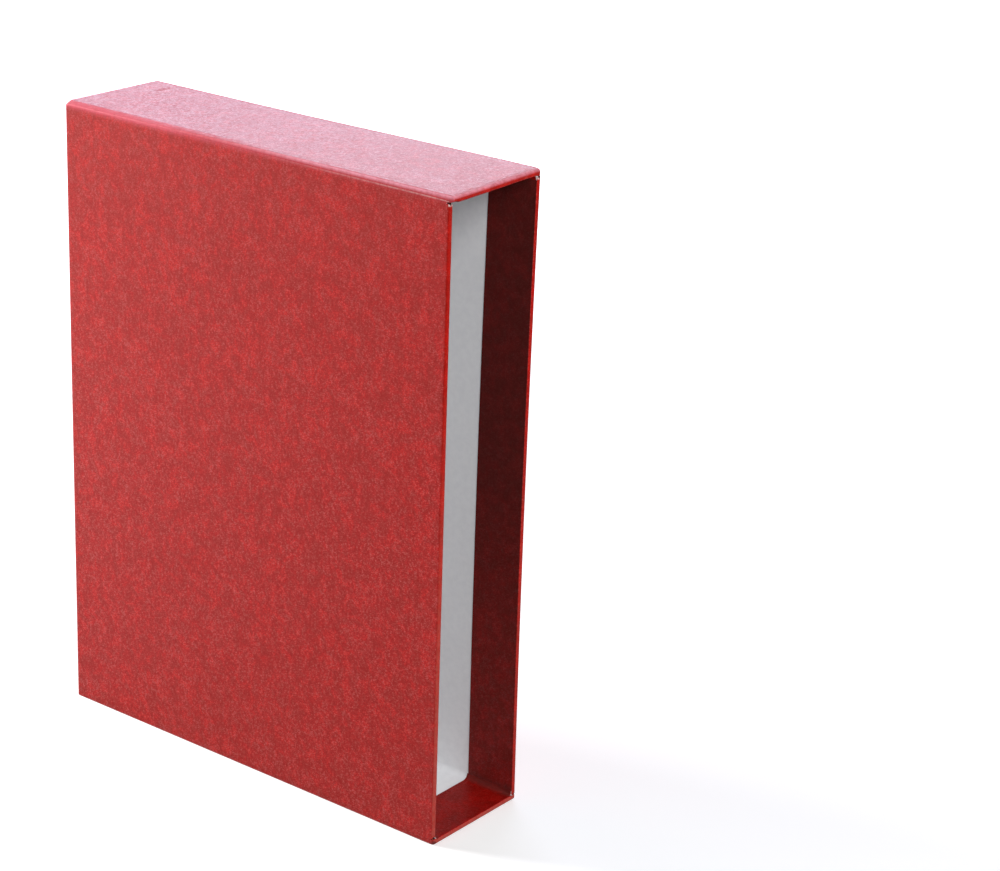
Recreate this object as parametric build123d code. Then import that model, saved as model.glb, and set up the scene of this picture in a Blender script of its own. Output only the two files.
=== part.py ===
from build123d import *
import os

os.makedirs("parts", exist_ok=True)

# A slipcase for an album: five greyboard walls with one long edge open. It stands on its tail.
# Z is up, the open mouth faces -Y, the spine wall is at +Y, and X runs through the thickness.

# ---------------------------------------------------------------- driving sizes, mm
# the finished outside, over the covering
case_height = 320.0
case_depth = 242.0
case_thickness = 63.2

# stock thicknesses
board_thickness = 2.0      # greyboard walls
stay_thickness = 0.15      # gummed paper tape that holds the boards together
lining_thickness = 0.2     # white paper inside
cover_thickness = 0.25     # paper-backed leatherette outside

# how far each sheet laps past an edge
stay_lap = 12.0            # each leg of a stay, from the board's edge
stay_cover = 3.0           # wall cover carried on over the sides, past the stays
wall_turn_in = 28.2        # wall cover turned in at the mouth
side_turn_in = 27.6        # side cover turned in at the mouth
side_set_in = 2.3          # side cover's cut edge, in from the head, tail and spine

# roundings, and the gap that keeps two cut edges apart
board_edge_radius = 0.8    # outside edges of the boards, under the stays
board_mouth_radius = 0.75  # outside edge of a side board at the mouth
corner_radius = 3.0        # inside corners, where the lining bridges from wall to wall
cut_gap = 0.15             # between the cut edges that meet at a mouth corner

# ---------------------------------------------------------------- worked out from them
edge_radius = board_edge_radius + stay_thickness + cover_thickness
mouth_edge_radius = board_mouth_radius + cover_thickness
turn_over = cover_thickness + stay_lap + stay_cover

mouth = -case_depth / 2
back = case_depth / 2
top = case_height

side_out = case_thickness / 2 - cover_thickness        # outside of a side board, in X
side_in = side_out - board_thickness                   # inside of it
wall_in = cover_thickness + board_thickness            # inside of a head, tail or spine board
lined = wall_in + lining_thickness                     # inside of the lining on those walls
mouth_lip = lined + cover_thickness                    # the same at the mouth, over the turn-in

# cutting blocks run this far past the faces they cut
overrun = 2 * (corner_radius + lining_thickness)
everywhere = (-2 * case_height, 2 * case_height)


# ---------------------------------------------------------------- helpers
def span(x, y, z):
    """A block between two values on each axis."""
    block = Box(x[1] - x[0], y[1] - y[0], z[1] - z[0], align=(Align.MIN, Align.MIN, Align.MIN))
    return Pos(x[0], y[0], z[0]) * block


def rounded_span(x, y, z, radius):
    """A block between two values on each axis, with every edge rounded."""
    return fillet(span(x, y, z).edges(), radius)


def envelope(inset):
    """The case's outer form without the side covers, brought in by an inset."""
    half = side_out - inset
    radius = edge_radius - inset
    return rounded_span((-half, half), (mouth + inset, back - inset), (inset, top - inset), radius)


def lining_form(inset):
    """The inside form of the case with its bridged corners, open past the mouth."""
    half = side_in - inset
    floor = wall_in + inset
    radius = corner_radius + lining_thickness - inset
    return rounded_span((-half, half), (mouth - overrun, back - floor), (floor, top - floor), radius)


def both_sides(name, piece):
    """The piece as drawn on the right, at +X, and its mirror image on the left."""
    return {f"right_{name}": piece, f"left_{name}": mirror(piece, about=Plane.YZ)}


# ---------------------------------------------------------------- wall cover
# One strip of leatherette round the tail, spine and head. Its long edges lap onto the sides,
# and both ends fold over the mouth edge and are pasted down inside.
def make_wall_cover():
    strip = envelope(0) - envelope(cover_thickness)
    strip -= span(everywhere, (mouth - overrun, back - turn_over), (turn_over, top - turn_over))
    strip -= span(everywhere, (mouth - overrun, mouth + edge_radius), (mouth_lip, top - mouth_lip))

    ring = lining_form(lining_thickness) - lining_form(lining_thickness + cover_thickness)
    for z in ((0, lined + corner_radius), (top - lined - corner_radius, top)):
        strip += ring & span(everywhere, (mouth + cover_thickness, mouth + wall_turn_in), z)
    return strip


# ---------------------------------------------------------------- side covers
# One straight sheet on each side, cut a little short of the head, tail and spine. It wraps
# round the mouth edge and turns in between the two ends of the wall cover.
def make_side_cover():
    outside = case_thickness / 2
    inside = side_in - lining_thickness - cover_thickness
    end = back - side_set_in
    sheet = span((inside, outside), (mouth, end), (side_set_in, top - side_set_in))
    mouth_edges = sheet.edges().filter_by(Axis.Z).group_by(Axis.Y)[0].sort_by(Axis.X)
    sheet = fillet(mouth_edges[-1], mouth_edge_radius)
    inner_edge = sheet.edges().filter_by(Axis.Z).group_by(Axis.Y)[0].sort_by(Axis.X)[0]
    sheet = fillet(inner_edge, cover_thickness)

    core = span(
        (side_in - lining_thickness, side_out),
        (mouth + cover_thickness, back + overrun),
        everywhere,
    )
    outer_edge = core.edges().filter_by(Axis.Z).group_by(Axis.Y)[0].sort_by(Axis.X)[-1]
    sheet -= fillet(outer_edge, board_mouth_radius)

    inside_leg = (inside - overrun, side_in - lining_thickness)
    sheet -= span(inside_leg, (mouth + side_turn_in, back), everywhere)
    for z in ((0, lined + corner_radius), (top - lined - corner_radius, top)):
        sheet -= span(inside_leg, (mouth + cover_thickness, back), z)
    for z in ((0, mouth_lip + cut_gap), (top - mouth_lip - cut_gap, top)):
        sheet -= span(everywhere, (mouth - overrun, mouth + edge_radius + cut_gap), z)
    return sheet


# ---------------------------------------------------------------- stays
# Gummed paper tapes, folded along each joint between two boards and pressed flush into them.
def make_stays():
    tape = envelope(cover_thickness) - envelope(cover_thickness + stay_thickness)

    reach = cover_thickness + stay_lap
    along = (mouth + edge_radius, back)
    side_leg = (side_out - reach, side_out)
    middle = (-side_leg[0], side_leg[0])
    spine_leg = (back - reach, back)
    tail_leg = (0, reach)
    head_leg = (top - reach, top)
    between = (tail_leg[1], head_leg[0])

    stays = both_sides("tail_stay", tape & span(side_leg, along, tail_leg))
    stays |= both_sides("head_stay", tape & span(side_leg, along, head_leg))
    stays |= both_sides("spine_stay", tape & span(side_leg, spine_leg, between))
    stays["tail_spine_stay"] = tape & span(middle, spine_leg, tail_leg)
    stays["head_spine_stay"] = tape & span(middle, spine_leg, head_leg)
    return stays


# ---------------------------------------------------------------- boards
# The sides run the full height and depth. The spine, head and tail stand between them, and
# the head and tail butt against the spine.
def make_boards(wall_cover, stays):
    core = envelope(cover_thickness)
    panel = span(
        (-side_out, side_out),
        (mouth + cover_thickness, back - turn_over),
        (mouth_lip, top - mouth_lip),
    )
    mouth_edges = panel.edges().filter_by(Axis.Z).group_by(Axis.Y)[0]
    core += fillet(mouth_edges, board_mouth_radius)
    core -= wall_cover
    for stay in stays.values():
        core -= stay

    between = (-side_in, side_in)
    to_spine = (mouth, back - wall_in)
    boards = both_sides("side_board", core & span((side_in, case_thickness), (mouth, back), (0, top)))
    boards["spine_board"] = core & span(between, (back - wall_in, back), (0, top))
    boards["tail_board"] = core & span(between, to_spine, (0, wall_in))
    boards["head_board"] = core & span(between, to_spine, (top - wall_in, top))
    return boards


# ---------------------------------------------------------------- linings
# A strip of white paper round the tail, spine and head bridges the inside corners, and a
# flat sheet on each side meets its edges.
def make_linings():
    low = lined + corner_radius
    depth = (mouth + cover_thickness, back - low)
    height = (low, top - low)

    strip = lining_form(0) - lining_form(lining_thickness)
    strip &= span(everywhere, (mouth + cover_thickness, back), (0, top))
    strip -= span(everywhere, (mouth, depth[1]), height)

    sheet = span((side_in - lining_thickness, side_in), depth, height)
    return {"wall_lining": strip} | both_sides("side_lining", sheet)


# ---------------------------------------------------------------- assembly
wall_cover = make_wall_cover()
stays = make_stays()
nodes = {"wall_cover": wall_cover}
nodes |= both_sides("side_cover", make_side_cover())
nodes |= make_boards(wall_cover, stays)
nodes |= stays
nodes |= make_linings()

for name, shape in nodes.items():
    export_step(shape, f"parts/{name}.step")
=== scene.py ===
import math

import bmesh
import bpy
from mathutils import Matrix, Vector, noise


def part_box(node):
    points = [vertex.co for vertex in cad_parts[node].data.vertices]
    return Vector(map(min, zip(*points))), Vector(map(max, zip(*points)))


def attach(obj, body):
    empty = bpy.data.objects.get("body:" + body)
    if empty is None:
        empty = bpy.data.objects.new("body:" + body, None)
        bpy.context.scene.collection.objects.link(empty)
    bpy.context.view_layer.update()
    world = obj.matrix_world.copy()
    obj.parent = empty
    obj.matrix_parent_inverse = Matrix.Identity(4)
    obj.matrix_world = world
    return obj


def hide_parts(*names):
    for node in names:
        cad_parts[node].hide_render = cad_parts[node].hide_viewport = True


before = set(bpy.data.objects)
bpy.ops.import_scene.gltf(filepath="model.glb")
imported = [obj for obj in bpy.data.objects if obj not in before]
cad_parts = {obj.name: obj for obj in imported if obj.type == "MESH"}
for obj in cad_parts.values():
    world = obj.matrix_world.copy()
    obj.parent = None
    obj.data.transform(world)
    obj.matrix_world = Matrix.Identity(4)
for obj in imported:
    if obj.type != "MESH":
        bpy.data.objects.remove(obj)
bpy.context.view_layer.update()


# ------------------------------------------------------------------ greyboard walls
# Five panels of greyboard, pulped waste paper with light and dark fibres: two full sides with a
# spine, a head and a tail between them. In use the right side has bowed, the head has sunk a
# little, and its left edge has been pressed down towards a knocked corner.
mm = 0.001


class Wire:
    """One output of a shader node. Sums on it add Math nodes, and node() adds any other node."""

    def __init__(self, socket):
        self.socket = socket

    def node(self, kind, settings, sockets, output=0):
        """Adds a node to this tree: its settings first, then its sockets' values or wires."""
        made = self.socket.id_data.nodes.new("ShaderNode" + kind)
        for name, value in settings.items():
            setattr(made, name, value)
        for name, value in sockets.items():
            if isinstance(value, Wire):
                self.socket.id_data.links.new(value.socket, made.inputs[name])
            else:
                made.inputs[name].default_value = value
        return Wire(made.outputs[output])

    def math(self, operation, *values):
        return self.node("Math", {"operation": operation}, dict(enumerate(values)))

    def __add__(self, other):
        return self.math("ADD", self, other)

    def __sub__(self, other):
        return self.math("SUBTRACT", self, other)

    def __rsub__(self, other):
        return self.math("SUBTRACT", other, self)

    def __mul__(self, other):
        return self.math("MULTIPLY", self, other)

    __radd__ = __add__
    __rmul__ = __mul__

    def __abs__(self):
        return self.math("ABSOLUTE", self)

    def larger(self, other):
        return self.math("MAXIMUM", self, other)

    def smaller(self, other):
        return self.math("MINIMUM", self, other)

    def ramp(self, low, high, start=0.0, end=1.0):
        """A smooth step from start to end as this value goes from low to high."""
        values = {"Value": self, "From Min": low, "From Max": high, "To Min": start, "To Max": end}
        return self.node("MapRange", {"interpolation_type": "SMOOTHSTEP"}, values)

    def blend(self, colour, other):
        """This value mixes one colour, at 0, with another, at 1."""
        sides = [c if isinstance(c, Wire) else (*c, 1) for c in (colour, other)]
        return self.node("Mix", {"data_type": "RGBA"}, {0: self, 6: sides[0], 7: sides[1]}, 2)

    def noise(self, size, detail=2.0, roughness=0.5, distortion=0.0):
        """Cloudy noise from 0 to 1 at this place, with lumps of about this size."""
        sockets = {"Vector": self, "Scale": 1 / size, "Detail": detail, "Roughness": roughness}
        return self.node("TexNoise", {}, sockets | {"Distortion": distortion})

    def part(self, axis):
        """One coordinate of this place: 0, 1 or 2."""
        return self.node("SeparateXYZ", {}, {0: self}, axis)

    def moved(self, shift):
        """This place, moved by a vector."""
        return self.node("VectorMath", {"operation": "ADD"}, {0: self, 1: shift})

    def stretched(self, factors):
        """This place, with each coordinate multiplied by its own factor."""
        return self.node("VectorMath", {"operation": "MULTIPLY"}, {0: self, 1: factors})


def new_material(name, specular, **constants):
    """A material and a place on it in millimetres, with its shader's constant values set."""
    material = bpy.data.materials.new(name)
    material.use_nodes = True
    tree = material.node_tree
    shader = tree.nodes["Principled BSDF"]
    shader.inputs["Specular IOR Level"].default_value = specular
    for socket, value in constants.items():
        shader.inputs[socket.replace("_", " ")].default_value = value
    place = Wire(tree.nodes.new("ShaderNodeTexCoord").outputs["Object"])
    place = place.node("VectorMath", {"operation": "SCALE"}, {0: place, "Scale": 1 / mm})
    return material, place


def dress(material, colour, roughness, height, bump_height):
    """Joins the wires to the shader. A height of 1 raises the surface by bump_height, in mm."""
    tree = material.node_tree
    shader = tree.nodes["Principled BSDF"]
    sockets = {"Height": height, "Distance": bump_height * mm, "Strength": 1.0}
    bumped = height.node("Bump", {}, sockets)
    for name, wire in (("Base Color", colour), ("Roughness", roughness), ("Normal", bumped)):
        tree.links.new(wire.socket, shader.inputs[name])


def greyboard():
    """Grey pulp with light and dark fibres, with painted shade where the mouth corners lay it bare."""
    material, place = new_material("greyboard", 0.25)
    clumps = place.noise(6.0, 3.0)
    fibres = place.noise(0.7, 5.0, 0.7, 1.5)
    colour = clumps.ramp(0.3, 0.7).blend((0.30, 0.275, 0.24), (0.36, 0.335, 0.30))
    colour = fibres.ramp(0.56, 0.72).blend(colour, (0.50, 0.48, 0.44))
    colour = fibres.ramp(0.44, 0.30).blend(colour, (0.16, 0.145, 0.13))
    z = place.part(2)
    # painted shade: the board goes near black where it shows in the holes at the mouth corners
    full, end = shaded_corner_ends
    corner = z.ramp(end, full).larger(z.ramp(head - end, head - full))
    full, end = shaded_corner_depth
    corner = corner * place.part(1).ramp(mouth + end, mouth + full)
    colour = corner.blend(colour, (0.035, 0.004, 0.003))
    dress(material, colour, fibres.ramp(0.2, 0.8, 0.95, 0.8), fibres + clumps * 0.3, 0.04)
    return material


def in_mm(node):
    """A node's lowest and highest corners, in millimetres."""
    low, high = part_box(node)
    return low / mm, high / mm


strip_low, strip_high = in_mm("wall_cover")
sheet_low, sheet_high = in_mm("right_side_cover")
mouth = strip_low.y
back = strip_high.y
head = strip_high.z
strip_side = strip_high.x
outside = sheet_high.x
cover_sheet = outside - in_mm("right_side_board")[1].x

sag = 1.1                  # of the head, everywhere but at its right mouth corner
sag_ends = 60.0            # the Y past which the sag is even, and the right side is straight
set_back = (1.15, 2.25)    # of the left side's mouth edge, at the tail and at the head
set_back_side = (27.5, 28.7)     # how far out it starts and is full, in X
set_back_ends = (2.3, 3.5)       # the same, in from the tail and the head
set_back_fades = 30.0      # how far in from the mouth it fades out
bow = 1.55                 # of the right side's mouth edge, inwards, at half height
bow_side = 28.0            # how far out it starts, in X
pressed_width = 2.9        # of the head edge, over the end of the left side board
pressed_depth = 3.5        # how far down the board the pressing is felt
pressed_slope = 0.42       # of that strip beside the spine
pressed_from = (-60.0, 110.0)    # where along the edge the slope grows
seam_in = 2.6              # from a side's face to where its board shows through the head
seam_width = 0.4
seam_depth = 0.07
dent_middle = (18.5, 104.0)      # of a fold in the head, in X and Y
dent_size = (6.5, 1.1)
dent_slant = 0.12
dent_depth = 0.38
knock = Vector((4.6, 4.6, 2.2))  # how far the knocked corner is cut back along each edge
knock_share = 0.85         # how near the knocked corner comes to a flat cut


def smooth(value, low, high):
    """A smooth step from 0 at low to 1 at high."""
    t = min(max((value - low) / (high - low), 0.0), 1.0)
    return t * t * (3 - 2 * t)


def handled(point):
    """Where use has moved a point of the case, in mm."""
    x, y, z = point
    sinks = sag * z / head * (1 - (1 - smooth(y, mouth, sag_ends)) * smooth(x, -outside, outside))
    if x < -set_back_side[0]:
        back_by = set_back[0] + (set_back[1] - set_back[0]) * z / head
        back_by *= smooth(min(z, head - z), *set_back_ends) * smooth(-x, *set_back_side)
        y += back_by * (1 - smooth(y, mouth, mouth + set_back_fades))
    if x > bow_side:
        x -= bow * (1 - (2 * z / head - 1) ** 2) * (1 - smooth(y, mouth, sag_ends))
    if z > head - pressed_depth:
        share = (1 - (head - z) / pressed_depth) ** 2
        seam = math.exp(-((strip_side - abs(x) - seam_in) / seam_width) ** 2)
        across = (y - dent_middle[1] + dent_slant * (x - dent_middle[0])) / dent_size[1]
        along = (x - dent_middle[0]) / dent_size[0]
        drop = seam_depth * seam + dent_depth * math.exp(-across ** 2 - along ** 2)
        inside = max(x + strip_side, 0.0)
        if inside < pressed_width:
            drop += pressed_slope * smooth(y, *pressed_from) * (pressed_width - inside)
        z -= drop * share
    reach = (x + outside) / knock.x + (back - y) / knock.y + (head - z) / knock.z
    if reach < 1:
        inward = Vector((1 / knock.x, -1 / knock.y, -1 / knock.z))
        push = knock_share * (1 - reach) / inward.length_squared
        x, y, z = Vector((x, y, z)) + inward * push
    return Vector((x, y, z - sinks))


mouth_reach = 2.6          # how far back the worn mouth edges of head and tail round over
mouth_drop = 1.5           # the same, down the mouth face
crushed = 0.5              # of the left side board's two corners, at the mouth
crushed_side = (26.0, 28.5)      # how far out the crushing starts and is full, in X
crushed_ends = (3.0, 7.0)        # in from the tail and the head, where it is full and fades out
crushed_fades = 7.0        # how far in from the mouth it fades out
shaded_corner_ends = (5.0, 8.0)        # from the tail or the head, where the painted shade is full and fades out
shaded_corner_depth = (7.0, 12.0)      # the same, in from the mouth


def worn(point):
    """Where wear under the covering has moved a point of a board or stay, in mm."""
    x, y, z = point
    across = (mouth + mouth_reach - y) / (mouth_reach - cover_sheet)
    down = (mouth_drop - min(z, head - z)) / (mouth_drop - cover_sheet)
    reach = math.hypot(across, down)
    if across > 0 and down > 0 and reach > 1:
        y += (mouth_reach - cover_sheet) * across * (1 - 1 / reach)
        shift = (mouth_drop - cover_sheet) * down * (1 - 1 / reach)
        z += shift if z < head / 2 else -shift
    full, end = crushed_ends
    share = smooth(-x, *crushed_side) * smooth(abs(z - head / 2), head / 2 - end, head / 2 - full)
    y += crushed * share * (1 - smooth(y, mouth, mouth + crushed_fades))
    return handled((x, y, z))


# which way each set of slices runs, the face it starts from, and how far in each slice is
slices = (
    ((1, 0, 0), -strip_side, (0.3, 0.6, 1, 1.5, 2, 2.4, 2.6, 2.8, 3.2, 4, 5, 42, 46, 50, 54, 58)),
    ((0, -1, 0), back, (0.3, 0.6, 1, 1.6, 2.4, 3.4, 5, 10, 13, 14.5, 16, 17, 18, 19.5, 21, 24)),
    ((0, -1, 0), back, range(30, 240, 15)),
    ((0, 0, -1), head, (0.4, 0.7, 1, 1.5, 2, 2.3, 2.6, 2.9, 3.2, 3.5, 5, 7)),
    ((0, 0, -1), head, range(20, 320, 20)),
    ((0, 1, 0), mouth, (0.5, 0.8, 1.2, 1.7, 2.2, 2.6, 4, 5.5, 7, 9)),
    ((0, 0, 1), 0.0, (0.3, 0.45, 0.7, 1, 1.5, 2, 2.3, 2.6, 2.9, 3.2, 3.5, 5, 7)),
)


def new_object(name, data):
    """An object in the scene, made from a mesh, a lamp or a camera."""
    made = bpy.data.objects.new(name, data)
    bpy.context.scene.collection.objects.link(made)
    return made


def handled_copy(node):
    """A copy of a CAD node, sliced where it is bowed, pressed or worn and moved with it."""
    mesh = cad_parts[node].data.copy()
    form = bmesh.new()
    form.from_mesh(mesh)
    for way, face, steps in slices:
        axis = Vector(way)
        origin = Vector((abs(a) * face for a in axis))
        for step in steps:
            everything = form.verts[:] + form.edges[:] + form.faces[:]
            cut = (origin + axis * step) * mm
            bmesh.ops.bisect_plane(form, geom=everything, dist=1e-7, plane_co=cut, plane_no=axis)
    for vertex in form.verts:
        vertex.co = worn(vertex.co / mm) * mm
    form.to_mesh(mesh)
    form.free()
    piece = new_object(node + "_handled", mesh)
    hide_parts(node)
    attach(piece, "root")
    return piece


def give(piece, *materials):
    """Puts these materials in the piece's slots."""
    piece.data.materials.clear()
    for material in materials:
        piece.data.materials.append(material)


board_stuff = greyboard()
for node in ("left_side_board", "right_side_board", "spine_board", "head_board", "tail_board"):
    board = handled_copy(node)
    give(board, board_stuff)


# ------------------------------------------------------------------ stays
# Strips of gummed kraft paper, wetted and folded round each joint between two boards, hold the
# case together until the covering is pasted on. They are pressed flush and nothing shows.
def kraft_tape():
    """Brown paper with long fibres, darker where the glue has soaked in."""
    material, place = new_material("kraft_tape", 0.3)
    fibres = place.noise(0.5, 4.0, 0.65, 2.0)
    damp = place.noise(9.0, 2.0)
    colour = fibres.ramp(0.3, 0.7).blend((0.36, 0.235, 0.13), (0.50, 0.35, 0.21))
    colour = damp.ramp(0.55, 0.75).blend(colour, (0.33, 0.21, 0.12))
    dress(material, colour, fibres.ramp(0.2, 0.8, 0.75, 0.6), fibres, 0.015)
    return material


tape = kraft_tape()
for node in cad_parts:
    if node.endswith("_stay"):
        stay = handled_copy(node)
        give(stay, tape)


# ------------------------------------------------------------------ wall lining
# One strip of white paper is pasted round the inside of the tail, spine and head. It is a
# little too wide on purpose, so that it bridges the inside corners and laps onto the sides.
lining_start = in_mm("wall_lining")[0]
side_lining_low, side_lining_high = in_mm("right_side_lining")
lining_side = side_lining_low.x                 # the face that shows, in X
lining_edge = side_lining_low.z                 # where strip and side sheet meet
lining_sheet = side_lining_high.x - side_lining_low.x
lining_depth = lining_start.z + lining_sheet    # the face that shows, below the outer form
bridge = lining_edge - lining_depth             # how far a bridged corner runs along each wall
bridge_flat = 0.2                               # 0 for a round bridge, 1 for a straight one
corner_tight = 1.15      # as bridge, at the mouth, where the turned-in cover pulls the paper tight
corner_opens = (0.5, 11.0)    # how far in from the mouth it starts to widen and is full
edge_gap = 0.03          # between cut edges that meet, so that they don't touch
lining_spacing = 4.0     # of the stations round the case


def white_paper():
    """Smooth and very slightly blue, with a faint cloudiness."""
    material, place = new_material("white_paper", 0.35)
    pulp = place.noise(3.5, 3.0, 0.6)
    fibres = place.noise(0.35, 4.0, 0.7, 1.0)
    colour = pulp.ramp(0.3, 0.7).blend((0.845, 0.855, 0.875), (0.885, 0.895, 0.91))
    colour = fibres.ramp(0.62, 0.8).blend(colour, (0.79, 0.80, 0.82))
    dress(material, colour, fibres.ramp(0.2, 0.8, 0.7, 0.58), fibres + pulp * 0.5, 0.012)
    return material


def walk(first, radius, spacing):
    """Stations round tail, spine and head on the case's outer form, from this Y and back to it,
    round two corners of this radius. Each is (Y, Z, the angle that has been turned through,
    how far it is to the nearest corner)."""
    stations = []
    runs = (
        ((first, 0.0), (back - radius, 0.0), 0),
        ((back, radius), (back, head - radius), 90),
        ((back - radius, head), (first, head), 180),
    )
    for (y0, z0), (y1, z1), angle in runs:
        length = math.hypot(y1 - y0, z1 - z0)
        count = math.ceil(length / spacing)
        for i in range(count + 1):
            t = i / count
            room = length * (1 - t if angle == 0 else t if angle == 180 else min(t, 1 - t))
            stations.append((y0 + (y1 - y0) * t, z0 + (z1 - z0) * t, angle, room))
        if angle < 180:
            centre_z = radius if angle == 0 else head - radius
            for turn in range(15, 90, 15):
                out = math.radians(angle + turn)
                y = back - radius + radius * math.sin(out)
                stations.append((y, centre_z - radius * math.cos(out), angle + turn, 0.0))
    return stations


def below(station, x, depth):
    """The point at X, this far in from a station of the walk."""
    y, z, angle, room = station
    out = math.radians(angle)
    return Vector((x, y - depth * math.sin(out), z + depth * math.cos(out)))


def quarter(count=6):
    """Angles of a quarter turn, in radians."""
    return [math.radians(90 * i / count) for i in range(count + 1)]


def between(low, high, count):
    """Evenly spaced values, both ends among them."""
    return [low + (high - low) * i / count for i in range(count + 1)]


def make_sheet(name, grids, thickness, outward):
    """A handled sheet of this thickness, from grids of points in mm, None where it is cut away.
    The points are on the side that shows, and outward() is above 0 for a face that looks out."""
    form = bmesh.new()
    for rows in grids:
        corners = [[p and form.verts.new(handled(p)) for p in row] for row in rows]
        for row, following in zip(corners, corners[1:]):
            for four in zip(row, row[1:], following[1:], following):
                if None not in four:
                    form.faces.new(four)
    bmesh.ops.remove_doubles(form, verts=form.verts, dist=0.003)
    bmesh.ops.dissolve_degenerate(form, edges=form.edges, dist=0.001)
    bmesh.ops.recalc_face_normals(form, faces=form.faces)
    form.normal_update()
    if sum(outward(face.calc_center_median(), face.normal) for face in form.faces) < 0:
        bmesh.ops.reverse_faces(form, faces=form.faces)
    bmesh.ops.scale(form, vec=(mm, mm, mm), verts=form.verts)
    mesh = bpy.data.meshes.new(name)
    form.to_mesh(mesh)
    form.free()
    piece = new_object(name, mesh)
    shell = piece.modifiers.new("thickness", "SOLIDIFY")
    shell.thickness = thickness * mm
    shell.offset = -1
    shell.use_rim = True
    shell.material_offset = 1
    shell.material_offset_rim = 1
    bpy.context.view_layer.update()
    thick = piece.evaluated_get(bpy.context.evaluated_depsgraph_get())
    solid = bpy.data.meshes.new_from_object(thick)
    piece.modifiers.clear()
    piece.data = solid
    solid.shade_smooth()
    solid.set_sharp_from_angle(angle=math.radians(40))
    return piece


bridge_steps = 8         # in which a bridged corner turns


def bridged(radius, side, depth):
    """Half a row over a corner, from the side wall to the tail or head: pairs of (X, depth)."""
    half_row = []
    for a in reversed(quarter(bridge_steps)):
        along = bridge_flat * (1 - 2 * a / math.pi) + (1 - bridge_flat) * (1 - math.sin(a))
        up = bridge_flat * (2 * a / math.pi) + (1 - bridge_flat) * (1 - math.cos(a))
        half_row.append((-side + radius * along, depth + radius * up))
    return half_row


def corner_size(run_in, full, at_mouth):
    """How far a bridged corner runs along each wall, this far in from the mouth."""
    return at_mouth + (full - at_mouth) * smooth(run_in, *corner_opens)


def lining_row(station):
    """The strip across one station, from side to side."""
    y, z, angle, room = station
    radius = bridge - edge_gap
    if angle in (0, 180):
        radius = corner_size(y - mouth, radius, corner_tight)
    half_row = [(-lining_side, lining_edge), (-lining_side, (lining_edge + lining_depth + radius) / 2)]
    half_row += bridged(radius, lining_side, lining_depth)
    flat_half = lining_side - radius
    half_row += [(-flat_half * f, lining_depth) for f in (0.9, 0.78, 0.65, 0.52, 0.39, 0.26, 0.13, 0)]
    row = half_row + [(-x, depth) for x, depth in reversed(half_row[:-1])]
    return [below(station, x, depth) for x, depth in row]


def lining_faces_in(centre, normal):
    return normal.z * (head / 2 - centre.z)


rows = [lining_row(station) for station in walk(lining_start.y, lining_edge, lining_spacing)]
paper = white_paper()
wall_lining = make_sheet("wall_lining_paper", [rows], lining_sheet, lining_faces_in)
give(wall_lining, paper, paper)
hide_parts("wall_lining")
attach(wall_lining, "root")


# ------------------------------------------------------------------ side linings
# A flat sheet of the same paper is pasted on each side. It is cut by hand and stops a hair's
# breadth short of the strip's bridged corners.
cut_wander = 0.06      # how far a hand-cut edge strays
wander_length = 9.0    # how far along an edge it takes to stray back
lining_gap = 0.06      # between the sheet and the strip


def wander(along, seed):
    """How far a cut edge strays at a point along it. Another seed gives another edge."""
    return cut_wander * noise.noise(Vector((along / wander_length, seed * 7.3, 0.5)))


for side, sign in (("left", -1), ("right", 1)):

    def side_lining_faces_in(centre, normal, sign=sign):
        return -sign * normal.x

    ys = between(side_lining_low.y, side_lining_high.y, 48)
    zs = between(side_lining_low.z, side_lining_high.z, 62)
    rows = []
    for z in zs:
        edge = lining_gap if z == zs[0] else -lining_gap if z == zs[-1] else 0.0
        heights = [z + edge + (wander(y, sign) if edge else 0) for y in ys]
        rows.append([Vector((sign * lining_side, y, height)) for y, height in zip(ys, heights)])
    sheet = make_sheet(f"{side}_lining_paper", [rows], lining_sheet, side_lining_faces_in)
    give(sheet, paper, paper)
    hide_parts(f"{side}_side_lining")
    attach(sheet, "root")


# ------------------------------------------------------------------ wall cover
# One strip of leatherette, red plastic-coated paper with a printed mottle and a pressed grain,
# runs round the tail, spine and head. It laps onto the sides, and its ends are folded over the
# mouth edge and pasted down inside, where darker copies of its material paint in shade.
lip_depth = lining_depth + cover_sheet          # the turned-in face, below the outer form
turned_side = sheet_low.x                       # the same on the sides, in X
edge_round = 0.7         # of the long edges, towards the middle
edge_drop = 0.8          # of the long edges, down the sides
edge_settles = 8.0       # how far in from the mouth a long edge has its usual round
lip_round = 0.7          # of the mouth edges, on the inside
swell = {"tail": 0.35, "head": 0.6}      # how loosely each end is folded over its board
swell_fades = 10.0       # how far in from the mouth it lies flat again
lap = 15.25              # onto the sides
strip_turn_in = 28.2
corner_slit = 0.95       # how long the slit is that frees the turn-in's upturned edge
slit_in = 0.25           # how far in from the turned-in side it is
strip_spacing = 1.3      # of the stations round the case
shaded_corner_spot = (-outside, mouth, 0.8)

sheen = (1.0, 0.35, 0.33, 1.0)   # the tint of its shine
pore_size = 0.95
grain_shows = 0.58       # how strongly the grain darkens and lightens the print
red_dull = (0.37, 0.021, 0.016)
red_mid = (0.455, 0.020, 0.017)
red_clear = (0.62, 0.024, 0.021)
grain_dark = (0.30, 0.005, 0.004)
grain_light_and_glint = (0.60, 0.115, 0.115)
# the painted sheen on the head, beside the spine and beside the mouth
sheen_paint_spine = (0.40, 0.043, 0.082)
sheen_paint_mouth = (0.57, 0.20, 0.225)
rubbed_and_highlit = (0.44, 0.085, 0.068)
faded_and_highlit = (0.70, 0.115, 0.155)
pale_highlight = (0.84, 0.33, 0.41)
pale_flecks_and_glints = (0.72, 0.42, 0.40)
frayed = (0.85, 0.74, 0.70)
shaded = (0.03, 0.009, 0.008)
corner_shade = (0.10, 0.028, 0.024)
corner_spot_shade = (0.07, 0.005, 0.004)


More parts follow.
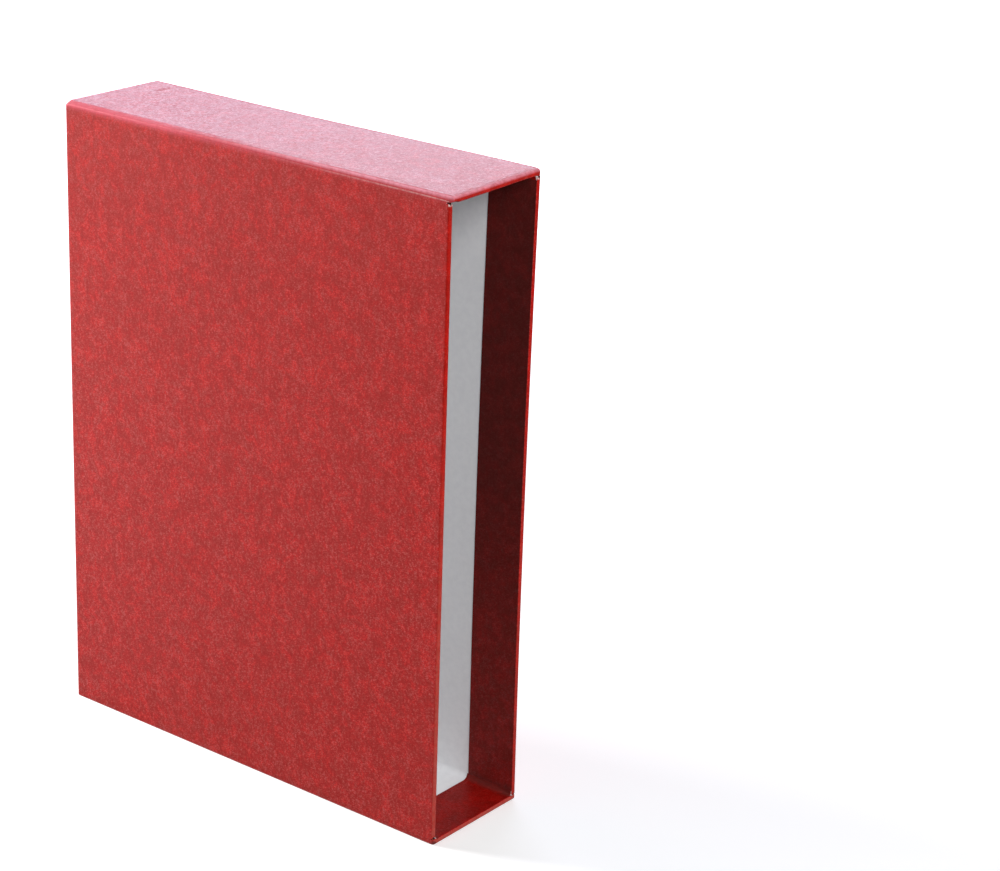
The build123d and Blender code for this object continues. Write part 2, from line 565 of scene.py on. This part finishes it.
def printed_red(place, tone, grain_strength):
    """The mottled print under its pressed grain. tone is the share kept of its red, green and
    blue. Gives the colour, and the mottle, specks and pebbles that the surface follows."""
    colours = (red_dull, red_mid, red_clear, grain_dark, grain_light_and_glint)
    dull, mid, clear, dark, light = (tuple(t * c for t, c in zip(tone, one)) for one in colours)
    wisps = place.stretched((1.0, 1.0, 0.85)).noise(5.2, 3.0, 0.6, 0.5) + place.noise(30.0, 1.0) * 0.2
    mottle = place.moved((40, 7, 13)).noise(1.6, 2.0, 0.6, 0.4)
    specks = place.stretched((1.0, 0.65, 1.3)).noise(0.75, 2.0, 0.65)
    colour = wisps.ramp(0.49, 0.60).blend(dull, mid)
    colour = wisps.ramp(0.60, 0.74).blend(colour, clear)
    grain = mottle * 0.8 + specks + place.noise(7.0, 2.0) * 0.3
    colour = grain.ramp(1.07, 0.78, 0.0, grain_strength).blend(colour, dark)
    # the light grain is partly a painted glint on its pebbles
    colour = grain.ramp(1.02, 1.30, 0.0, grain_strength).blend(colour, light)
    sockets = {"Vector": place, "Scale": 1 / pore_size, "Randomness": 0.9}
    pores = place.node("TexVoronoi", {"feature": "DISTANCE_TO_EDGE"}, sockets)
    pebbles = pores.ramp(0.0, 0.22)
    return (pebbles * 0.6 + 0.4).blend(dark, colour), mottle, specks, pebbles


def rubbed_and_highlit_head(colour, across, y, down, from_side, patches):
    """The colour round the head: its edges faded and rubbed, partly as a painted highlight on their
    rounding, a painted highlight along the long edges towards the mouth and over the mouth fold,
    and pale where the side sheets' upper edges are cut. down is how far a place is below the head,
    which has sunk."""
    # faded and rubbed edges, partly a painted highlight on their rounding
    along_sides = down.ramp(4.8, 0.8) * from_side.ramp(1.3, 0.6) * y.ramp(-100.0, 100.0, 0.5, 0.85)
    pressed_edge = across.ramp(-27.9, -28.6) * y.ramp(-30.0, 70.0) * down.ramp(3.0, 2.0)
    along_spine = down.ramp(1.9, -0.1) * y.ramp(back - 1.3, back - 0.6, 0.0, 0.6)
    edges = along_sides.larger(pressed_edge.larger(along_spine))
    colour = (edges * (patches * 0.25 + 0.8)).blend(colour, faded_and_highlit)
    # painted highlight along the long edges towards the mouth and over the mouth fold
    ridge = from_side.ramp(1.0, 0.6) * down.ramp(0.05, 0.25) * down.ramp(2.2, 0.4) * y.ramp(40.0, -60.0)
    ridge = ridge * (patches * 0.3 + 0.7)
    mouth_fold = down.ramp(1.9, 0.3) * y.ramp(mouth + 2.4, mouth + 1.1) * (patches * 0.3 + 0.5)
    colour = ridge.larger(mouth_fold).blend(colour, pale_highlight)
    side_sheet_cut = down.ramp(3.0, 2.75) * down.ramp(2.15, 2.35)
    side_sheet_cut = side_sheet_cut * from_side.ramp(0.2, 0.1) * y.ramp(10.0, mouth)
    return (side_sheet_cut * (patches * 0.4 + 0.25)).blend(colour, pale_flecks_and_glints)


def leatherette(name, tone, specular, shade=0.0, turned=False, folded=False):
    """The covering after use, with painted sheen on the head, and rubbed on its edges, partly as a
    painted highlight that grows lower down. shade is how much painted shade darkens it further up.
    Turned in, it has painted shade in the corners over the tail; folded over a mouth edge, it is
    rubbed pale, most of all lower down, partly as a painted highlight, and frayed under the head."""
    material, place = new_material(name, specular, Specular_Tint=sheen)
    strength = grain_shows * (0.5 if turned else 1.0)
    colour, mottle, specks, pebbles = printed_red(place, tone, strength)
    across, y, z = (place.part(axis) for axis in range(3))
    from_side = outside - abs(across)
    not_sunk = y.ramp(mouth, sag_ends, sag, 0.0) * across.ramp(-outside, outside)
    down = not_sunk - z + (head - sag)
    patches = place.noise(2.6, 3.0, 0.65).ramp(0.36, 0.60)

    # painted shade: the deep turn-ins darken further up, where less light reaches inside
    if shade:
        colour = (z.ramp(20.0, 190.0) * shade).blend(colour, shaded)
    # painted sheen on the head, paler towards the mouth
    head_sheen_paint = y.ramp(back, mouth).blend(sheen_paint_spine, sheen_paint_mouth)
    colour = (down.ramp(0.5, 0.1) * 0.5).blend(colour, head_sheen_paint)
    if turned:
        # painted shade in the inside corners over the tail
        corner = abs(across).ramp(turned_side - 3.5, turned_side - 0.4)
        corner = corner * z.ramp(lining_edge + 4.5, lining_edge - 1.5)
        colour = (corner * 0.62).blend(colour, corner_shade)
    if folded:
        # the side's mouth edge is worn low down, the left one most, and so is the tail's; low on the left the
        # pale is partly a painted highlight
        lower_left_highlight = z.ramp(250.0, 30.0, 0.05, 0.8) * across.ramp(24.0, 30.0, 1.0, 0.3)
        worn_off_and_highlit = lower_left_highlight.larger(z.ramp(3.9, 2.9, 0.0, 0.8))
        colour = ((patches * 0.4 + 0.6) * worn_off_and_highlit).blend(colour, rubbed_and_highlit)
    colour = rubbed_and_highlit_head(colour, across, y, down, from_side, patches)
    if folded:
        # the head's fold is frayed along its inner edge
        under_head = down.ramp(5.4, 4.4) * down.ramp(3.4, 3.6)
        colour = (under_head * 0.8).blend(colour, frayed)

    # every edge is rubbed and flecked, more towards the tail, and partly this is a painted highlight: there a
    # place is near to two of the outside faces
    from_mouth_or_spine = (y - mouth).smaller(back - y)
    from_tail_or_head = z.smaller(head - z)
    nearer = from_side.smaller(from_mouth_or_spine)
    farther = from_side.larger(from_mouth_or_spine)
    second_nearest = nearer.larger(farther.smaller(from_tail_or_head))
    edge = second_nearest.ramp(1.1, 0.45)
    colour = (edge * patches * z.ramp(290.0, 10.0, 0.12, 0.75)).blend(colour, rubbed_and_highlit)
    glinting_flecks = place.moved((5, 50, 9)).noise(1.1, 3.0, 0.6).ramp(0.58, 0.68)
    colour = (edge * glinting_flecks * 0.5).blend(colour, pale_flecks_and_glints)
    # painted shadow at the left corner of the tail's mouth edge, where the fold leaves a hollow
    apart = place.node("VectorMath", {"operation": "DISTANCE"}, {0: place, 1: shaded_corner_spot}, 1)
    colour = apart.ramp(2.6, 1.2, 0.0, 0.85).blend(colour, corner_spot_shade)

    fine = place.noise(0.3, 2.0, 0.6)
    unevenness = place.noise(14.0, 1.0)
    height = pebbles * 0.5 + mottle * 0.6 + fine * 0.3 + unevenness * 1.6
    dress(material, colour, (mottle * 0.5 + specks * 0.5).ramp(0.3, 0.7, 0.56, 0.32), height, 0.07)
    return material


def paper_core():
    """The paper back of the leatherette, seen where it is cut."""
    material, place = new_material("paper_core", 0.3)
    fibres = place.noise(0.4, 3.0, 0.7)
    colour = fibres.ramp(0.3, 0.7).blend((0.60, 0.47, 0.44), (0.80, 0.70, 0.67))
    stained = place.noise(5.0, 2.0).ramp(0.35, 0.62) * 0.5 + place.part(1).ramp(-70.0, 10.0) * 0.5
    colour = stained.blend(colour, (0.42, 0.05, 0.045))
    dress(material, colour, fibres.ramp(0.2, 0.8, 0.85, 0.7), fibres, 0.02)
    return material


# where the strip is divided across its width, in X: the inner places also on the turned-in flap
flat_limit = strip_side - edge_round
turn_limit = turned_side - slit_in              # the flap's flat part, at the fold
half_xs = [-turn_limit, -turn_limit + 0.4, -turn_limit + 1.0] + between(-26.5, 0.0, 13)
inner_xs = half_xs + [-x for x in reversed(half_xs[:-1])]
flat_xs = [-flat_limit, -29.7, -29.2, -28.9] + inner_xs + [28.9, 29.2, 29.7, flat_limit]


def station_row(station):
    """The strip across one station: lap, edge, face, edge and lap."""
    y, z, angle, room = station
    drop = edge_drop
    if angle in (0, 180):
        drop = mouth_drop + (edge_drop - mouth_drop) * smooth(y - mouth, mouth_reach, edge_settles)
    reach = min(lap, edge_drop + room)
    row = [(-strip_side, drop + max(reach - drop, 0) * f) for f in (1, 0.6, 0.3, 0.1)]
    row += [(-flat_limit - edge_round * math.sin(a), drop * (1 - math.cos(a)))
            for a in reversed(quarter()[1:])]
    row += [(x, 0.0) for x in flat_xs if x <= 0]
    row += [(-x, depth) for x, depth in reversed(row[:-1])]
    return [below(station, x, depth) for x, depth in row]


def end_point(end, x, y, depth):
    """A point this far in from the tail's or the head's outer face."""
    return Vector((x, y, depth if end == "tail" else head - depth))


def fold_rows(end):
    """The strip over the mouth edge of the tail or head, from outside to inside."""
    turned = [(-1, a) for a in reversed(quarter()[1:])]
    columns = turned + [(x, None) for x in flat_xs] + [(1, a) for _, a in reversed(turned)]

    def row(over, depth, keep):
        """One row, turned this far over the mouth edge, or at a depth of its own past it."""
        points = []
        for x, around in columns:
            side = x if around is None else x * (flat_limit + edge_round * math.sin(around))
            lean = 1.0 if around is None else math.cos(around)
            y = mouth + mouth_reach * (1 - lean * math.sin(over))
            down = mouth_drop * (1 - lean * math.cos(over)) if depth is None else depth
            points.append(end_point(end, side, y, down) if keep(abs(side)) else None)
        return points

    def everywhere(from_middle):
        return True

    def beside_flap(from_middle):
        return from_middle > turn_limit - 0.01

    rows = [row(over, None, everywhere) for over in quarter()]
    rows.append(row(math.pi / 2, lip_depth + swell[end] - lip_round, everywhere))
    rows.append(row(math.pi / 2, lip_depth + swell[end], beside_flap))
    return rows


def flap_rows(end):
    """The end of the strip that is pasted down inside, from the fold to its cut edge."""
    lip = lip_depth + swell[end]
    places = [(lip_round * (1 - math.cos(a)), lip - lip_round * (1 - math.sin(a))) for a in quarter(4)]
    for y in [corner_slit, 1.6, 2.6, 4.0] + between(6.0, strip_turn_in, 12):
        places.append((y, lip - swell[end] * smooth(y, lip_round, swell_fades)))
    rows = []
    for y, depth in places:
        if y < corner_slit:
            limit = turn_limit
            upturned = [None] * (bridge_steps + 2)
        else:
            radius = corner_size(y, bridge - cover_sheet, corner_tight - cover_sheet)
            limit = turned_side - radius
            upturned = [(-turned_side, lining_edge), (-turned_side, (lining_edge + depth + radius) / 2)]
            upturned += bridged(radius, turned_side, depth)[:-1]
        middle = [(x * limit / turn_limit, depth) for x in inner_xs]
        row = upturned + middle + [p and (-p[0], p[1]) for p in reversed(upturned)]
        points = []
        for p in row:
            cut = wander(p[0], 4 if end == "tail" else 5) * 2 if p and y == strip_turn_in else 0.0
            points.append(p and end_point(end, p[0], mouth + y + cut, p[1]))
        rows.append(points)
    return rows


def strip_faces_out(centre, normal):
    if abs(centre.x) > strip_side - 0.01:
        return normal.x * centre.x
    return 0


rows = [station_row(station) for station in walk(mouth + mouth_reach, edge_drop, strip_spacing)]
grids = [rows]
for end in ("tail", "head"):
    grids += [fold_rows(end), flap_rows(end)]

outer_red = leatherette("red_leatherette", (1.02, 1, 0.98), 0.38)
# darker copies of the red as painted shade: on faces that look out of the mouth, on the strip's turn-ins, and
# darkest on the sides' turn-ins
mouth_red_shaded = leatherette("red_leatherette_folded_shaded", (0.94, 0.36, 0.23), 0.05, folded=True)
turned_red_shaded = leatherette("red_leatherette_turned_in_shaded", (0.61, 0.29, 0.21), 0.12, turned=True)
turned_deep_shaded = leatherette("red_leatherette_deep_in_shaded", (0.5, 0.85, 0.85), 0.12, 0.6, True)
core = paper_core()
core_slot, turned_slot, folded_slot = 1, 2, 3    # of a cover's materials; the outside is 0
mouth_facing = -0.6      # a face looks out of the mouth if its normal's Y is below this


def mark_folded_and_turned(cover, is_turned_in):
    """Moves a cover's mouth faces and its turned-in faces to their own materials, darker copies of the red
    that paint in shade.
    """
    for face in cover.data.polygons:
        if face.material_index == core_slot:
            continue
        if face.normal.y < mouth_facing:
            face.material_index = folded_slot
        elif is_turned_in(face.center / mm):
            face.material_index = turned_slot


def strip_is_turned_in(centre):
    past_the_fold = lip_round * 0.6 < centre.y - mouth < strip_turn_in + 1
    inside_the_wall = min(centre.z, head - centre.z) > 2.3 and abs(centre.x) < turned_side + 0.01
    return past_the_fold and inside_the_wall


wall_cover = make_sheet("wall_cover_strip", grids, cover_sheet, strip_faces_out)
give(wall_cover, outer_red, core, turned_red_shaded, mouth_red_shaded)
mark_folded_and_turned(wall_cover, strip_is_turned_in)
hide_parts("wall_cover")
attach(wall_cover, "root")


# ------------------------------------------------------------------ side covers
# A sheet of the same leatherette on each side, cut a little short of the head, tail and spine.
# It wraps round the mouth edge and is turned in between the two ends of the strip.
side_round = 1.1         # of the mouth edge, on the outside
side_lip_round = 0.6     # of the mouth edge, on the inside
side_turn_in = 27.6
wrap_gap = 0.25          # between the cut ends of strip and sheet at a mouth corner
notch_back = 1.5         # how far the notch at a mouth corner runs back on the outside
cut_dip = 0.5            # of the sheet's upper edge at the mouth
dip_fades = 5.0          # how fast it fades, back from the mouth
open_notch = 1.1         # how far a corner gapes in the middle of the mouth edge
drawn_in = 6.0           # how far from the tail or head the sheet is drawn towards its notch


def side_rows(sign):
    """The sheet in rows up its height, each from the spine round the mouth to the turn-in. The
    rows are close together near the ends, where it dips and gapes."""
    columns = [(outside, y, "outside") for y in between(sheet_high.y, mouth + notch_back, 80)]
    columns += [(outside, mouth + y, "wrap") for y in (notch_back - 0.01, side_round + 0.1)]
    columns += [(outside - side_round * (1 - math.cos(a)), mouth + side_round * (1 - math.sin(a)), "wrap")
                for a in quarter()]
    columns += [(turned_side + side_lip_round * (1 - math.sin(a)),
                 mouth + side_lip_round * (1 - math.cos(a)), "wrap") for a in quarter(4)[:-1]]
    flap_ys = [side_lip_round, 0.8] + between(2.0, side_turn_in, 12)
    columns += [(turned_side, mouth + y, "flap") for y in flap_ys]
    low = {"outside": sheet_low.z, "wrap": lip_depth + swell["tail"] + wrap_gap,
           "flap": lining_edge + edge_gap}
    high = {"outside": sheet_high.z, "wrap": head - lip_depth - swell["head"] - wrap_gap,
            "flap": head - lining_edge - edge_gap}
    zs = [low["outside"], low["wrap"], 4.2, low["flap"]] + between(8.0, head - 12.0, 100)
    zs += between(head - 11.0, head - 6.5, 4)
    zs += [high["flap"], head - 4.3, high["wrap"], high["wrap"] + 0.4, high["outside"]]
    rows = []
    for z in zs:
        row = []
        for x, y, part in columns:
            if z < low[part] - 0.001 or z > high[part] + 0.001:
                row.append(None)
                continue
            at_cut = z < low[part] + 0.001 or z > high[part] - 0.001
            dip = cut_dip * math.exp((mouth - y) / dip_fades) * smooth(z, head - drawn_in, high["outside"])
            if part == "wrap":
                gape = open_notch * math.sin(math.pi * (x - turned_side) / (outside - turned_side)) ** 2
                dip += gape * (smooth(z, head - drawn_in, high["wrap"]) - smooth(-z, -drawn_in, -low["wrap"]))
            stray = wander(y, 11 + sign + (5 if z > head / 2 else 0)) if at_cut else 0
            stray_y = 0.0
            if y in (sheet_high.y, mouth + side_turn_in):
                stray_y = wander(z, 17 + sign + (3 if x == outside else 0))
            row.append(Vector((sign * x, y + stray_y, z + stray - dip)))
        rows.append(row)
    return rows


def sheet_is_turned_in(centre):
    return abs(centre.x) < turned_side + 0.35 and centre.y > mouth + 0.3


for side, sign in (("left", -1), ("right", 1)):

    def sheet_faces_out(centre, normal, sign=sign):
        return sign * normal.x if abs(centre.x) > outside - 0.5 else 0

    sheet = make_sheet(f"{side}_cover_sheet", [side_rows(sign)], cover_sheet, sheet_faces_out)
    give(sheet, outer_red, core, turned_deep_shaded, mouth_red_shaded)
    mark_folded_and_turned(sheet, sheet_is_turned_in)
    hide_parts(f"{side}_side_cover")
    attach(sheet, "root")


# ------------------------------------------------------------------ floor, lamps and camera
# A wide pale floor, measured in metres like all that follows. A small lamp on the left lights
# the near side, three in front light the inside, and a large cool one behind on the right
# gives the head its sheen.
floor_half = 8.0


def seen_plainly(tree):
    """1 where the camera sees a surface, plainly or in a shine, and 0 where it only throws light."""
    path = tree.nodes.new("ShaderNodeLightPath")
    rays = ("Is Camera Ray", "Is Glossy Ray", "Is Transmission Ray")
    camera_ray, glossy_ray, clear_ray = (Wire(path.outputs[name]) for name in rays)
    return camera_ray.larger(glossy_ray).larger(clear_ray)


def pale_floor():
    """White where it is seen, and greyer where it only throws light back at the case."""
    material = bpy.data.materials.new("pale_floor")
    material.use_nodes = True
    tree = material.node_tree
    tree.nodes.remove(tree.nodes["Principled BSDF"])
    seen = seen_plainly(tree)
    plain = seen.node("BsdfDiffuse", {}, {"Color": (0.35, 0.35, 0.35, 1)})
    white = seen.node("BsdfDiffuse", {}, {"Color": (0.9, 0.9, 0.9, 1)})
    place = Wire(tree.nodes.new("ShaderNodeTexCoord").outputs["Object"])
    away = place.node("VectorMath", {"operation": "LENGTH"}, {0: place}, 1)
    lift = seen.node("Emission", {}, {"Color": (1, 1, 1, 1), "Strength": away.ramp(0.35, 1.2, 0.3, 1.0)})
    white = seen.node("AddShader", {}, {0: white, 1: lift})
    both = seen.node("MixShader", {}, {0: seen, 1: plain, 2: white})
    tree.links.new(both.socket, tree.nodes["Material Output"].inputs["Surface"])
    return material


floor_mesh = bpy.data.meshes.new("floor")
corners = [(-floor_half, -floor_half, 0), (floor_half, -floor_half, 0), (floor_half, floor_half, 0),
           (-floor_half, floor_half, 0)]
floor_mesh.from_pydata(corners, [], [(0, 1, 2, 3)])
floor = new_object("floor", floor_mesh)
give(floor, pale_floor())

middle = Vector((0, 0, 0.16))    # of the case


def soft_lamp(name, place, width, brightness, colour):
    """A square lamp aimed at the case. brightness is how bright its face looks."""
    light = bpy.data.lights.new(name, "AREA")
    light.shape = "SQUARE"
    light.size = width
    light.energy = brightness * math.pi * width ** 2
    light.color = colour
    lamp = new_object(name, light)
    lamp.location = place
    lamp.rotation_mode = "QUATERNION"
    lamp.rotation_quaternion = (middle - Vector(place)).to_track_quat("-Z", "Y")
    lamp.visible_camera = False


soft_lamp("left_lamp", (-0.3, 0.8, 0.5), 0.35, 29.0, (1, 1, 1))
soft_lamp("high_front_lamp", (-0.8, -1.5, 1.2), 0.8, 12.3, (1, 1, 1))
soft_lamp("front_top_lamp", (0.25, -1.0, 0.95), 0.5, 3.6, (1, 1, 1))
soft_lamp("front_lamp", (0.0, -1.7, 0.5), 0.9, 1.9, (1, 1, 1))
soft_lamp("back_lamp", (1.5, 1.2, 0.75), 1.4, 4.0, (0.71, 0.77, 1.0))

world = bpy.data.worlds.new("studio")
world.use_nodes = True
bpy.context.scene.world = world
room_level = 0.05
strength = seen_plainly(world.node_tree) * (1 - room_level) + room_level
background = world.node_tree.nodes["Background"]
background.inputs["Color"].default_value = (1, 1, 1, 1)
world.node_tree.links.new(strength.socket, background.inputs["Strength"])

# where the camera stands from the case, and how far it is tipped to one side
azimuth, elevation, roll = (math.radians(angle) for angle in (-52.716, 20.559, 2.167))
towards = Vector((math.sin(azimuth) * math.cos(elevation), -math.cos(azimuth) * math.cos(elevation),
                  math.sin(elevation)))
right = (-towards).cross(Vector((0, 0, 1))).normalized()
up = right.cross(-towards)
rolled = (right * math.cos(roll) + up * math.sin(roll), up * math.cos(roll) - right * math.sin(roll), towards)
view = Matrix(rolled).transposed().to_4x4()
view.translation = Vector((-0.9145, -0.8234, 0.6325))
camera = new_object("camera", bpy.data.cameras.new("camera"))
camera.matrix_world = view
camera.data.sensor_width = 36
camera.data.lens = 96.99
camera.data.clip_start = 0.05
camera.data.clip_end = 50
bpy.context.scene.camera = camera
bpy.context.scene.view_settings.view_transform = "Standard"
